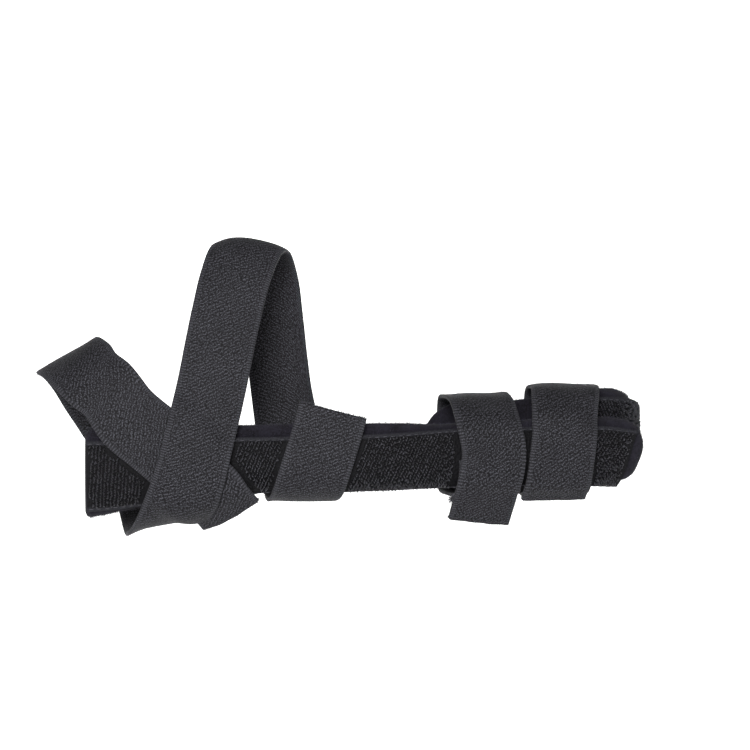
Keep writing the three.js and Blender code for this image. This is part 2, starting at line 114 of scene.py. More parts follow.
# Sections of the form, as shares of the sizes above: the heights of its lowest edge, highest edge and middle,
# its half depths near and far, how far away its middle is, how square its quarters are, and how much of the
# finger bar's stack lies behind. They are the part's own, fitted closer to the photograph at the high loop
FORM_COLUMNS = (
    "x", "low", "high", "mid", "near", "far", "away", "front_low", "front_high", "behind", "bar_behind",
)
FORM_ROWS = (
    (-1.5, -0.47, 0.08, -0.1, 0.36, 0.6, 0.0, 2.3, 2.2, 2.2, 0.0),
    (-1.2, -0.35, 0.27, 0.0, 0.38, 0.6, 0.0, 2.4, 2.2, 2.2, 0.0),
    (-1.0, -0.275, 0.39, 0.05, 0.38, 0.6, 0.0, 2.6, 2.2, 2.2, 0.0),
    (-0.85, -0.19, 0.49, 0.08, 0.36, 0.58, 0.0, 2.8, 2.1, 2.2, 0.0),
    (-0.7, -0.155, 0.64, 0.1, 0.33, 0.55, 0.0, 3.0, 2.1, 2.2, 0.0),
    (-0.54, -0.12, 0.75, 0.1, 0.3, 0.53, 0.0, 3.0, 2.1, 2.2, 0.0),
    (-0.4, -0.08, 0.742, 0.08, 0.28, 0.5, 0.0, 3.0, 2.1, 2.2, 0.0),
    (-0.3, -0.08, 0.685, 0.065, 0.27, 0.48, 0.0, 3.0, 2.15, 2.35, 0.08),
    (-0.2, -0.08, 0.5, 0.05, 0.26, 0.46, 0.0, 3.0, 2.2, 2.5, 0.2),
    (0.0, -0.072, 0.31, 0.04, 0.25, 0.36, 0.03, 3.2, 2.3, 4.0, 0.7),
    (0.18, -0.067, 0.2, 0.035, 0.25, 0.3, 0.13, 3.5, 2.4, 8.0, 1.0),
    (0.35, -0.068, 0.195, 0.035, 0.25, 0.28, 0.235, 3.5, 2.4, 8.0, 1.0),
    (0.48, -0.068, 0.2, 0.045, 0.25, 0.28, 0.32, 3.5, 2.4, 8.0, 1.0),
    (0.62, -0.07, 0.23, 0.055, 0.26, 0.29, 0.4, 3.5, 2.6, 8.0, 1.0),
    (0.8, -0.073, 0.227, 0.06, 0.27, 0.3, 0.51, 3.5, 3.0, 8.0, 1.0),
    (1.1, -0.07, 0.23, 0.06, 0.27, 0.3, 0.7, 3.5, 3.0, 8.0, 1.0),
)
# The bars' upper edges
EDGE_COLUMNS = ("x", "top")
LONG_BAR_EDGE_ROWS = (
    (-1.1, 0.095), (-0.8, 0.1), (-0.48, 0.103), (-0.04, 0.113),
    (0.29, 0.129), (0.55, 0.135), (0.85, 0.137), (1.02, 0.115),
)
FINGER_BAR_EDGE_ROWS = (
    (0.0, 0.175), (0.17, 0.175), (0.42, 0.179), (0.68, 0.203), (0.86, 0.211), (0.95, 0.226), (1.05, 0.23),
)
# The straps' routes: share of the reach, place round the form, and height over it
ROUTE_COLUMNS = ("x", "around", "lift")
WRIST_THUMB_ROUTE = (
    (-0.545, 0.11, 0.8), (-0.585, 0.177, 0.1), (-0.688, 0.31, 0.0), (-0.785, 0.445, 0.0),
    (-0.845, 0.54, 0.0), (-0.912, 0.665, 0.0), (-0.99, 0.77, 0.0), (-1.09, 1.0, 0.0),
    (-1.05, 1.25, 0.0), (-0.94, 1.5, 0.0), (-0.845, 1.75, 0.0), (-0.772, 2.0, 0.0),
    (-0.697, 2.14, 0.0), (-0.638, 2.26, 0.0), (-0.577, 2.466, 0.0), (-0.538, 2.64, 0.0),
    (-0.5, 2.81, 0.0), (-0.45, 3.0, 0.0), (-0.4, 3.2, 0.0), (-0.36, 3.45, 0.0),
    (-0.325, 3.7, 0.0), (-0.28, 4.0, 0.0), (-0.232, 4.2, 0.0), (-0.205, 4.31, 0.0),
    (-0.18, 4.42, 0.0), (-0.165, 4.5, 0.0),
)
FINGER_BASE_ROUTE = (
    (0.408, 0.42, 0.0), (0.402, 0.25, 0.0), (0.388, 0.1, 0.0),
    (0.366, -0.05, 0.0), (0.347, -0.3, 0.0), (0.345, -0.65, 0.0),
    (0.36, -1.0, 0.0), (0.385, -1.25, 0.0), (0.41, -1.5, 0.0),
    (0.406, -1.62, 0.0), (0.396, -1.7, 0.0), (0.391, -1.74, 0.0),
)
FINGER_TIP_ROUTE = (
    (0.674, 0.42, 0.0), (0.664, 0.22, 0.0), (0.655, 0.05, 0.0),
    (0.66, -0.3, 0.0), (0.685, -0.65, 0.0), (0.708, -1.0, 0.0),
    (0.69, -1.25, 0.0), (0.674, -1.5, 0.0), (0.66, -1.66, 0.0),
    (0.65, -1.76, 0.0), (0.648, -1.79, 0.0),
)

# Where threads fray out of the base strap's lower edge
BASE_TUFT_PLACE = (20.0, -7.0, -12.0)

# The camera: how far it stands, the plane where a millimetre is PIXELS_PER_MM pixels, the square picture's
# side in pixels, and the camera's place in X and Z
CAMERA_DISTANCE = 490.0
PHOTO_PLANE = -15.0
PIXELS_PER_MM = 3.45
PHOTO_PIXELS = 750
CAMERA_X = -1.45
CAMERA_Z = 23.2


def columns(names, rows):
    """A table's columns by name, as arrays."""
    return dict(zip(names, np.array(rows, dtype=float).T))


FORM = columns(FORM_COLUMNS, FORM_ROWS)
LONG_BAR_EDGE = columns(EDGE_COLUMNS, LONG_BAR_EDGE_ROWS)
FINGER_BAR_EDGE = columns(EDGE_COLUMNS, FINGER_BAR_EDGE_ROWS)


def smooth(knots, values, at):
    """A cubic through the knots: h00 a + h10 span m_a + h01 b + h11 span m_b, where each knot's slope m is
    the slope between its neighbours."""
    n = len(knots)
    before = np.maximum(np.arange(n) - 1, 0)
    after = np.minimum(np.arange(n) + 1, n - 1)
    slope = (values[after] - values[before]) / (knots[after] - knots[before])
    i = np.clip(np.searchsorted(knots, at, side="left") - 1, 0, n - 2)
    span = knots[i + 1] - knots[i]
    t = np.clip((at - knots[i]) / span, 0, 1)
    return (
        (2 * t**3 - 3 * t**2 + 1) * values[i]
        + (t**3 - 2 * t**2 + t) * span * slope[i]
        + (3 * t**2 - 2 * t**3) * values[i + 1]
        + (t**3 - t**2) * span * slope[i + 1]
    )


def smoothstep(value, low, high):
    """3 t^2 - 2 t^3, where t is the value's place between low and high."""
    t = np.clip((value - low) / (high - low), 0, 1)
    return t * t * (3 - 2 * t)


def unit(vectors):
    """Vectors divided by their lengths."""
    return vectors / np.linalg.norm(vectors, axis=-1, keepdims=True)


def share_of(x):
    """x as a share of the reach that it lies in."""
    return np.where(x < 0, x / WRIST_REACH, x / FINGER_REACH)


class Form:
    """The surface that the straps lie on, kept as sections on a grid of X. Each section is a closed line
    r(a) = (|sin a / depth|^p + |cos a / height|^p)^(-1/p) about its centre, with its own depth, height and p
    in each quarter, and is read by the length along it from the lowest point."""

    X_LOW, X_HIGH, X_STEP = -128.0, 88.0, 0.5
    ANGLES = 720
    PLACES = 1024

    def __init__(self):
        self.x = np.arange(self.X_LOW, self.X_HIGH + self.X_STEP, self.X_STEP)
        share = share_of(self.x)
        read = {name: smooth(FORM["x"], FORM[name], share)[:, None] for name in FORM_COLUMNS[1:]}
        middle = read["mid"] * FORM_BREADTH
        down = middle - (read["low"] * FORM_BREADTH - BAR_STACK)
        up = read["high"] * FORM_BREADTH - middle
        near = read["near"] * FORM_DEPTH + BAR_STACK
        far = read["far"] * FORM_DEPTH + read["bar_behind"] * BAR_STACK
        angle = np.linspace(0, 2 * np.pi, self.ANGLES + 1)[None, :]
        sine, cosine = np.sin(angle), np.cos(angle)
        front = np.where(cosine > 0, read["front_low"], read["front_high"])
        power = np.where(sine > 0, front, read["behind"])
        depth = np.where(sine > 0, near, far)
        height = np.where(cosine > 0, down, up)
        reach = (np.abs(sine / depth) ** power + np.abs(cosine / height) ** power) ** (-1 / power)
        y = read["away"] * FORM_DEPTH - reach * sine
        z = middle - reach * cosine
        steps = np.hypot(np.diff(y, axis=1), np.diff(z, axis=1))
        lengths = np.concatenate([np.zeros((len(self.x), 1)), np.cumsum(steps, axis=1)], axis=1)
        self.round = lengths[:, -1]
        self.front = lengths[:, self.ANGLES // 2]
        self.front_z = z[:, : self.ANGLES // 2 + 1]
        self.front_lengths = lengths[:, : self.ANGLES // 2 + 1]
        places = np.linspace(0, 1, self.PLACES + 1)
        self.grid = np.stack(
            [
                np.stack([np.interp(places * r, l, row_y), np.interp(places * r, l, row_z)], axis=-1)
                for r, l, row_y, row_z in zip(self.round, lengths, y, z)
            ]
        )

    def point(self, x, s):
        """The point at x and the length s round the section, between the four nearest points of the grid."""
        place = np.clip((x - self.X_LOW) / self.X_STEP, 0, len(self.x) - 1.001)
        i = place.astype(int)
        t = (place - i)[..., None]
        length = np.interp(x, self.x, self.round)
        turn = np.mod(s / length, 1) * self.PLACES
        j = np.minimum(turn.astype(int), self.PLACES - 1)
        u = (turn - j)[..., None]
        low = self.grid[i, j] * (1 - u) + self.grid[i, j + 1] * u
        high = self.grid[i + 1, j] * (1 - u) + self.grid[i + 1, j + 1] * u
        return np.concatenate([x[..., None], low * (1 - t) + high * t], axis=-1)

    def slopes(self, x, s):
        """The slopes along X and round the section, and the outward normal, which is their cross product."""
        reach = 1.0
        along = (self.point(x + reach, s) - self.point(x - reach, s)) / (2 * reach)
        around = (self.point(x, s + reach) - self.point(x, s - reach)) / (2 * reach)
        return along, around, unit(np.cross(along, around))

    def length_of(self, x, around):
        """The length round the section of a place on a route: 0 at the lowest edge, 1 at the highest, 2 at
        the lowest again."""
        front = np.interp(x, self.x, self.front)
        back = np.interp(x, self.x, self.round) - front
        rest = np.mod(around, 2)
        return np.where(rest <= 1, rest * front, front + (rest - 1) * back)

    def length_at_height(self, x, z):
        """The length round the section to the height z on the side that the camera sees."""
        places = np.rint((x - self.X_LOW) / self.X_STEP).astype(int)
        return np.array([np.interp(h, self.front_z[i], self.front_lengths[i]) for i, h in zip(places, z)])


FORM_SURFACE = Form()


def mesh_object(name, points, faces, uv=None, caps=None):
    """A mesh object from points in millimetres, faces and caps, which are faces of another size. The point
    values uv become the UV map "cloth"."""
    mesh = bpy.data.meshes.new(name)
    face_list = np.asarray(faces).tolist() + ([] if caps is None else caps.tolist())
    mesh.from_pydata((np.asarray(points) * MM).tolist(), [], face_list)
    if uv is not None:
        layer = mesh.uv_layers.new(name="cloth")
        corners = np.empty(len(mesh.loops), dtype=np.int32)
        mesh.loops.foreach_get("vertex_index", corners)
        layer.data.foreach_set("uv", np.asarray(uv, dtype=np.float32)[corners].ravel())
    mesh.validate()
    mesh.polygons.foreach_set("use_smooth", np.ones(len(mesh.polygons), dtype=bool))
    obj = bpy.data.objects.new(name, mesh)
    bpy.context.scene.collection.objects.link(obj)
    return obj


def sheet_faces(rows, cols):
    """Quads of a closed sheet: the outer grid, the inner grid turned over, and four walls between them."""
    i, j = np.meshgrid(np.arange(rows - 1), np.arange(cols - 1), indexing="ij")
    a = (i * cols + j).ravel()
    n = rows * cols
    outer = np.stack([a, a + cols, a + cols + 1, a + 1], axis=1)
    inner = outer[:, ::-1] + n
    r = np.arange(rows - 1) * cols
    c = np.arange(cols - 1)
    last = (rows - 1) * cols
    walls = [
        np.stack([r, r + n, r + n + cols, r + cols], axis=1),
        np.stack([r + cols - 1, r + 2 * cols - 1, r + n + 2 * cols - 1, r + n + cols - 1], axis=1),
        np.stack([c, c + 1, c + 1 + n, c + n], axis=1),
        np.stack([last + c, last + c + n, last + c + 1 + n, last + c + 1], axis=1),
    ]
    return np.concatenate([outer, inner] + walls)


def outward(points, faces):
    """The faces, turned over if the volume that they enclose comes out negative."""
    a, b, c, d = (points[faces[:, k]] for k in range(4))
    volume = np.einsum("ij,ij->", a, np.cross(b, c)) + np.einsum("ij,ij->", a, np.cross(c, d))
    return faces[:, ::-1] if volume < 0 else faces


def closed_sheet(name, outer, inner, uv):
    """A closed sheet between two grids of points, shape (rows, columns, 3)."""
    rows, cols = outer.shape[:2]
    points = np.concatenate([outer.reshape(-1, 3), inner.reshape(-1, 3)])
    faces = outward(points, sheet_faces(rows, cols))
    both = np.concatenate([uv.reshape(-1, 2)] * 2)
    return mesh_object(name, points, faces, both)


def wave_noise(u, v, size, seed, waves=9):
    """Smooth noise of about that size: waves sin(k . (u, v) + phase) in random directions, added up and
    divided by the square root of their number."""
    draw = np.random.default_rng(seed)
    total = np.zeros(np.broadcast(u, v).shape)
    for _ in range(waves):
        angle, phase = draw.uniform(0, 2 * np.pi, 2)
        k = 2 * np.pi / (size * draw.uniform(0.7, 1.6))
        total += np.sin(k * (u * np.cos(angle) + v * np.sin(angle)) + phase)
    return total / math.sqrt(waves)


class Strap:
    """A strap along a route over the form. Its rows are STEP apart along it, and its points across lie on
    the form at x + t dx, s + t ds. In front, s is the length up from the lowest edge. Behind, it is that
    length less the whole round, and the strap goes over smoothly from the one to the other there."""

    # Spacing of the rows, points in a row, fine places between two knots of the route, how far ahead and
    # back the direction is taken, and the width of the ramp beside an overlap
    STEP = 0.7
    ACROSS = 31
    FINEST = 24
    REACH = 3.6
    RAMP = 5.0
    # How far back along the strap, in strap widths, a stretch starts to count as an overlap, and fully counts
    LAP_STARTS, LAP_COUNTS = 1.6, 2.2

    def __init__(self, route, start_tail=0.0, end_tail=0.0):
        table = columns(ROUTE_COLUMNS, route)
        knots = np.arange(len(route), dtype=float)

        def read(place):
            """x, the place round the form and the length round it, at places along the route."""
            share = smooth(knots, table["x"], place)
            x = np.where(share < 0, share * WRIST_REACH, share * FINGER_REACH)
            around = smooth(knots, table["around"], place)
            return x, around, FORM_SURFACE.length_of(x, around)

        fine = np.linspace(0, len(route) - 1, (len(route) - 1) * self.FINEST + 1)
        x, _, s = read(fine)
        point = FORM_SURFACE.point(x, s)
        length = np.concatenate([[0], np.cumsum(np.linalg.norm(np.diff(point, axis=0), axis=1))])
        count = int(round(length[-1] / self.STEP))
        self.along = np.linspace(0, length[-1], count + 1)
        place = np.interp(self.along, length, fine)
        x, around, s = read(place)
        lift = smooth(knots, table["lift"], place)
        centre = FORM_SURFACE.point(x, s)
        window = int(round(self.REACH / self.STEP))
        ahead = centre[np.minimum(np.arange(count + 1) + window, count)]
        behind = centre[np.maximum(np.arange(count + 1) - window, 0)]
        self.t = np.sin(np.linspace(-np.pi / 2, np.pi / 2, self.ACROSS)) * 0.5 * STRAP_WIDTH
        up = self.laid(x, s, ahead - behind)
        down = self.laid(x, s - np.interp(x, FORM_SURFACE.x, FORM_SURFACE.round), ahead - behind)
        share = smoothstep(np.mod(around, 2), 1.2, 1.8)[:, None, None]
        self.base = up[0] * (1 - share) + down[0] * share
        self.normal = unit(up[1] * (1 - share) + down[1] * share)
        self.height = TOUCH_GAP + lift[:, None] + self.rise(centre) * (STRAP_THICKNESS + TOUCH_GAP)
        for tail, end in ((end_tail, -1), (start_tail, 0)):
            if tail > 0:
                self.straight_on(tail, end)

    def laid(self, x, s, way):
        """The strap's points and normals, where its middle is at x and s and runs that way. Across it they go
        by t (dx, ds), where dx along + ds around is the unit vector normal x way."""
        along, around, normal = FORM_SURFACE.slopes(x, s)
        across = unit(np.cross(normal, way))
        aa, ab, bb = ((p * q).sum(-1) for p, q in ((along, along), (along, around), (around, around)))
        ca, cb = (across * along).sum(-1), (across * around).sum(-1)
        per_x = (ca * bb - cb * ab) / (aa * bb - ab * ab)
        per_s = (cb * aa - ca * ab) / (aa * bb - ab * ab)
        grid_x = x[:, None] + self.t * per_x[:, None]
        grid_s = s[:, None] + self.t * per_s[:, None]
        return FORM_SURFACE.point(grid_x, grid_s), FORM_SURFACE.slopes(grid_x, grid_s)[2]

    def rise(self, centre):
        """1 where the strap lies on an earlier stretch of itself, falling to 0 over RAMP past that stretch's
        edge. An earlier stretch counts from LAP_STARTS strap widths back along the strap, where it faces the
        same way. A raised cosine 9 rows long smooths the result along the strap."""
        middle = self.ACROSS // 2
        early = slice(None, None, 3)
        apart = self.along[:, None] - self.along[None, early]
        facing = self.normal[:, middle] @ self.normal[early, middle].T
        counts = smoothstep(apart, self.LAP_STARTS * STRAP_WIDTH, self.LAP_COUNTS * STRAP_WIDTH)
        counts = counts * smoothstep(facing, 0.2, 0.6)
        points, below = self.base.reshape(-1, 3), centre[early]
        square = (points**2).sum(1)[:, None] + (below**2).sum(1) - 2 * points @ below.T
        gap = np.sqrt(np.maximum(square, 0)).reshape(len(self.along), self.ACROSS, -1)
        gap = (gap + (1 - counts)[:, None] * (STRAP_WIDTH + self.RAMP)).min(-1)
        rise = smoothstep(STRAP_WIDTH / 2 + 1 + self.RAMP - gap, 0, self.RAMP)
        window = np.hanning(11)[1:-1] / np.hanning(11).sum()
        padded = np.pad(rise, ((4, 4), (0, 0)), mode="edge")
        return sum(weight * padded[k : k + len(rise)] for k, weight in enumerate(window))

    def straight_on(self, tail, end):
        """Adds rows past one end, straight on in the direction that the strap has there."""
        n = int(round(tail / self.STEP))
        middle = self.ACROSS // 2
        back = 5 if end == 0 else -6
        last = self.base[end] + self.normal[end] * self.height[end][:, None]
        before = self.base[back] + self.normal[back] * self.height[back][:, None]
        direction = unit(last[middle] - before[middle])
        steps = np.arange(1, n + 1)[:, None] * self.STEP
        base = self.base[end] + steps[..., None] * direction
        normal = np.repeat(self.normal[end][None], n, axis=0)
        height = np.repeat(self.height[end][None], n, axis=0)
        if end == 0:
            self.base = np.concatenate([base[::-1], self.base])
            self.normal = np.concatenate([normal, self.normal])
            self.height = np.concatenate([height, self.height])
            self.along = np.concatenate([-steps[::-1, 0], self.along])
        else:
            self.base = np.concatenate([self.base, base])
            self.normal = np.concatenate([self.normal, normal])
            self.height = np.concatenate([self.height, height])
            self.along = np.concatenate([self.along, self.along[-1] + steps[:, 0]])

    def length(self):
        """The strap's cut length: that of the line along the middle of its width and thickness."""
        middle = self.ACROSS // 2
        height = self.height[:, middle] + STRAP_THICKNESS / 2
        line = self.base[:, middle] + self.normal[:, middle] * height[:, None]
        return np.linalg.norm(np.diff(line, axis=0), axis=1).sum()

    def mesh(self, name, seed):
        """The strap's own mesh. Its thickness falls to edge_share of itself at the selvedges as
        sqrt(1 - k^2), its height wanders by a few hundredths of a millimetre, and its cut ends have slightly
        worn corners, 0.3 (t / half width)^16, and a faintly uneven line."""
        edge, edge_share = 0.7, 0.35
        k = np.clip((np.abs(self.t) - (STRAP_WIDTH / 2 - edge)) / edge, 0, 1)
        full = edge_share + (1 - edge_share) * np.sqrt(1 - k**2)
        u, v = np.meshgrid(self.t, self.along)
        wander = 0.09 * wave_noise(u, v, 9.0, seed) * (0.4 + 0.6 * np.abs(u) / (STRAP_WIDTH / 2))
        middle = self.height + STRAP_THICKNESS / 2 + wander
        half = 0.5 * STRAP_THICKNESS * full
        outer = self.base + self.normal * (middle + half)[..., None]
        inner = self.base + self.normal * (middle - half)[..., None]
        for end, back in ((0, 4), (-1, -5)):
            way = unit(outer[end] - outer[back])
            fade = smoothstep(4 - np.abs(self.along - self.along[end]), 0, 4)[:, None]
            corner = 0.3 * (np.abs(self.t) / (STRAP_WIDTH / 2)) ** 16
            cut = corner + 0.06 * wave_noise(self.t, 0 * self.t, 4.0, seed + end)
            outer = outer - fade[..., None] * cut[:, None] * way
            inner = inner - fade[..., None] * cut[:, None] * way
        self.outer, self.half = outer, half
        return closed_sheet(name, outer, inner, np.stack([u, v], axis=-1))


def needles(name, base, direction, length, radius, sides=3):
    """Thin cones as one mesh: each has a small polygon round its base and one point at its tip, at
    base + direction * length."""
    n = len(base)
    upright, level = np.array([[0.0, 0.0, 1.0]]), np.array([[1.0, 0.0, 0.0]])
    helper = np.where(np.abs(direction[:, 2:3]) < 0.9, upright, level)
    side = unit(np.cross(direction, helper))
    other = np.cross(direction, side)
    angle = np.arange(sides) * 2 * np.pi / sides
    ring = base[:, None] + radius * (
        side[:, None] * np.cos(angle)[None, :, None] + other[:, None] * np.sin(angle)[None, :, None]
    )
    tip = base + direction * np.asarray(length)[:, None]
    points = np.concatenate([ring, tip[:, None]], axis=1).reshape(-1, 3)
    first = np.arange(n)[:, None] * (sides + 1)
    faces = [first + np.array([k, (k + 1) % sides, sides]) for k in range(sides)]
    faces.append(first + np.arange(sides)[::-1])
    return mesh_object(name, points, np.concatenate(faces))


def linear(value):
    """An sRGB hex value as linear red, green, blue and alpha."""
    channels = [int(value[i : i + 2], 16) / 255 for i in (1, 3, 5)]
    return [c / 12.92 if c <= 0.04045 else ((c + 0.055) / 1.055) ** 2.4 for c in channels] + [1.0]


def add(tree, kind, settings=None, inputs=None):
    """Adds a node with its settings, and its inputs: values, or sockets to link from."""
    node = tree.nodes.new(kind)
    for key, value in (settings or {}).items():
        setattr(node, key, value)
    for key, value in (inputs or {}).items():
        if isinstance(value, bpy.types.NodeSocket):
            tree.links.new(value, node.inputs[key])
        else:
            node.inputs[key].default_value = value
    return node


def cloth_material(name):
    """An empty material with its node tree and its Principled shader."""
    material = bpy.data.materials.new(name)
    material.use_nodes = True
    tree = material.node_tree
    return material, tree, tree.nodes["Principled BSDF"]


def cloth_place(tree):
    """The place on the cloth in millimetres, from the UV map, and its distance from the middle line."""
    uv = add(tree, "ShaderNodeUVMap", {"uv_map": "cloth"}).outputs[0]
    split = add(tree, "ShaderNodeSeparateXYZ", inputs={0: uv})
    across = add(tree, "ShaderNodeMath", {"operation": "ABSOLUTE"}, {0: split.outputs[0]}).outputs[0]
    return uv, across


def noise(tree, place, scale, detail, roughness=0.5, output=0):
    """Fractal noise, its cells 1/scale wide: its value, or its colour as output 1."""
    inputs = {"Vector": place, "Scale": scale, "Detail": detail, "Roughness": roughness}
    return add(tree, "ShaderNodeTexNoise", inputs=inputs).outputs[output]


def bands(tree, place, scale, distortion, detail, detail_scale):
    """Wavy bands that run along X, 2 pi / (20 scale) apart."""
    inputs = {
        "Vector": place, "Scale": scale, "Distortion": distortion, "Detail": detail,
        "Detail Scale": detail_scale,
    }
    settings = {"bands_direction": "Y", "wave_profile": "SIN"}
    return add(tree, "ShaderNodeTexWave", settings, inputs).outputs[1]


def cells(tree, place, scale, randomness):
    """The distance from the nearest middle of scattered cells."""
    settings = {"feature": "F1", "voronoi_dimensions": "2D"}
    inputs = {"Vector": place, "Scale": scale, "Randomness": randomness}
    return add(tree, "ShaderNodeTexVoronoi", settings, inputs).outputs[0]


def ranged(tree, value, low, high, first, last):
    """The value, where low to high is taken to first to last."""
    inputs = {0: value, 1: low, 2: high, 3: first, 4: last}
    return add(tree, "ShaderNodeMapRange", inputs=inputs).outputs[0]


def mixed(tree, share, first, second):
    """The first value, with that share of the second in it."""
    inputs = {0: share, 2: first, 3: second}
    return add(tree, "ShaderNodeMix", {"data_type": "FLOAT"}, inputs).outputs[0]


def ramped(tree, value, *stops):
    """A colour for a value, from stops that each have a place and an sRGB hex value."""
    ramp = add(tree, "ShaderNodeValToRGB", inputs={0: value})
    elements = ramp.color_ramp.elements
    for element, (place, colour) in zip(elements, (stops[0], stops[-1])):
        element.position, element.color = place, linear(colour)
    for place, colour in stops[1:-1]:
        elements.new(place).color = linear(colour)
    return ramp.outputs[0]


def give_look(tree, shader, colour, roughness, specular, sheen=0.0, sheen_roughness=0.5):
    """Gives a Principled shader its colour and how rough, shiny and downy it is."""
    tree.links.new(colour, shader.inputs["Base Color"])
    shader.inputs["Roughness"].default_value = roughness
    shader.inputs["Specular IOR Level"].default_value = specular
    shader.inputs["Sheen Weight"].default_value = sheen
    shader.inputs["Sheen Roughness"].default_value = sheen_roughness


def bumped(tree, shader, height, strength, distance):
    """Gives a Principled shader a bump, its distance in millimetres."""
    inputs = {"Height": height, "Strength": strength, "Distance": distance * MM}
    bump = add(tree, "ShaderNodeBump", inputs=inputs)
    tree.links.new(bump.outputs[0], shader.inputs["Normal"])


def loop_tape_material():
    """Woven nylon loop tape, brushed on its face: charcoal specks half a millimetre apart, in slanting rows
    0.9 mm apart, with faint ribs 0.75 mm apart towards the edges and a plain selvedge 1.3 mm wide.
    Its colour follows the weave's height: pale on the specks' tops, which is a painted glint, and near-black
    between them, which is painted shade, over the tape's own charcoal grain. To the eye it is matt and finely
    grained."""
    material, tree, shader = cloth_material("charcoal_loop_tape")
    uv, across = cloth_place(tree)
    selvedge = ranged(tree, across, 8.6, 8.8, 0.0, 1.0)
    edge_share = ranged(tree, across, 5.0, 9.0, 0.02, 0.1)
    bend = noise(tree, uv, 0.35, 1.0, output=1)
    warped = add(
        tree, "ShaderNodeVectorMath", {"operation": "MULTIPLY_ADD"}, {0: bend, 1: (0.9, 0.9, 0.0), 2: uv}
    ).outputs[0]
    slant = add(tree, "ShaderNodeMapping", inputs={0: warped, "Rotation": (0.0, 0.0, 0.62)}).outputs[0]
    rows = bands(tree, slant, 0.34, 3.2, 2.0, 1.6)
    place = add(tree, "ShaderNodeMapping", inputs={0: slant, "Scale": (1.9, 2.4, 1.0)}).outputs[0]
    speck = ranged(tree, cells(tree, place, 1.0, 1.0), 0.0, 0.7, 1.0, 0.0)
    nub = mixed(tree, 0.27, speck, rows)
    fibre = noise(tree, warped, 3.4, 3.0, roughness=0.8)
    ribs = bands(tree, uv, 0.42, 0.6, 1.0, 1.2)
    loops = mixed(tree, 0.55, nub, fibre)
    brushed = mixed(tree, edge_share, loops, ribs)
    plain = mixed(tree, 0.16, fibre, ribs)
    surface = mixed(tree, selvedge, brushed, plain)
    # The ramp turns the weave's height into colour. Its pale top end is a painted glint on the specks, its
    # near-black low end is painted shade between them, and between the two ends lies the tape's own charcoal
    # grain.
    weave = ramped(tree, surface, (0.32, "#060607"), (0.5, "#141416"), (0.7, "#36363b"))
    edge_lift = ranged(tree, selvedge, 0.0, 1.0, 1.0, 1.15)
    shade = ranged(tree, noise(tree, uv, 0.09, 2.0), 0.3, 0.7, 0.9, 1.1)
    lift = add(tree, "ShaderNodeMath", {"operation": "MULTIPLY"}, {0: shade, 1: edge_lift}).outputs[0]
    colour = add(tree, "ShaderNodeVectorMath", {"operation": "SCALE"}, {0: weave, "Scale": lift}).outputs[0]
    bumped(tree, shader, surface, 0.5, 0.3)
    give_look(tree, shader, colour, 0.65, 0.05, sheen=0.01)
    return material


def plush_material():
    """Brushed polyester plush over foam: a dark violet-navy nap, soft and nearly matt, with a faint sheen at
    grazing angles and small crushed patches."""
    material, tree, shader = cloth_material("navy_plush")
    place = add(tree, "ShaderNodeTexCoord").outputs["Object"]
    nap = noise(tree, place, 1700.0, 3.0, roughness=0.7)
    crush = noise(tree, place, 190.0, 2.0)
    both = mixed(tree, 0.35, nap, crush)
    colour = ramped(tree, both, (0.36, "#08070a"), (0.64, "#16151b"))
    bumped(tree, shader, both, 0.6, 0.25)
    give_look(tree, shader, colour, 0.95, 0.04, sheen=0.03, sheen_roughness=0.6)
    return material


def nylon_material(name, dark, pale, roughness):
    """Extruded nylon thread: smooth and slightly shiny, one colour with a little variation."""
    material, tree, shader = cloth_material(name)
    place = add(tree, "ShaderNodeTexCoord").outputs["Object"]
    colour = ramped(tree, noise(tree, place, 700.0, 1.0), (0.35, dark), (0.65, pale))
    give_look(tree, shader, colour, roughness, 0.2)
    return material


def hook_ground_material():
    """The woven ground of hook tape: nearly black between the hooks, the tape's own black deepened by painted
    shade there, with a paler, dark grey selvedge.
    """
    material, tree, shader = cloth_material("black_hook_tape")
    uv, across = cloth_place(tree)
    selvedge = ranged(tree, across, HOOK_FIELD_HALF, HOOK_FIELD_HALF + 0.3, 0.0, 1.0)
    weave = cells(tree, uv, 1.3, 0.8)
    plain = noise(tree, uv, 2.6, 3.0)
    surface = mixed(tree, selvedge, weave, plain)
    # The hook field's near-black is the tape's own black with painted shade between the hooks.
    field_black_and_painted_shade = ramped(tree, weave, (0.1, "#08080a"), (0.6, "#050506"))
    edge = ramped(tree, plain, (0.35, "#0c0c0e"), (0.65, "#1c1c20"))
    colour = add(tree, "ShaderNodeMix", {"data_type": "RGBA"}, {0: selvedge, 6: field_black_and_painted_shade, 7: edge}).outputs[2]
    bumped(tree, shader, surface, 0.7, 0.3)
    give_look(tree, shader, colour, 0.7, 0.06)
    return material


def corner_cut(distance, radius):
    """How much narrower a strip is at a distance from its end: a round corner takes r - sqrt(r^2 - d^2)."""
    inside = np.clip(radius - distance, 0, radius)
    return radius - np.sqrt(np.maximum(radius**2 - inside**2, 0))


def half_width(x, start, end, start_radius, end_radius, width):
    """Half the width of a strip with rounded ends, at places along it."""
    return width / 2 - corner_cut(x - start, start_radius) - corner_cut(end - x, end_radius)


def rounded_places(start, end, start_radius, end_radius, step):
    """Places from start to end, about a step apart. In the corners they are closer together, as 1 - cos of
    even turns."""
    turn = np.linspace(0, np.pi / 2, 14)
    count = int(math.ceil((end - start - start_radius - end_radius) / step))
    straight = np.linspace(start + start_radius, end - end_radius, count + 1)
    first = start + start_radius * (1 - np.cos(turn[:-1]))
    last = end - end_radius * (1 - np.cos(turn[:-1]))[::-1]
    return np.concatenate([first, straight, last])


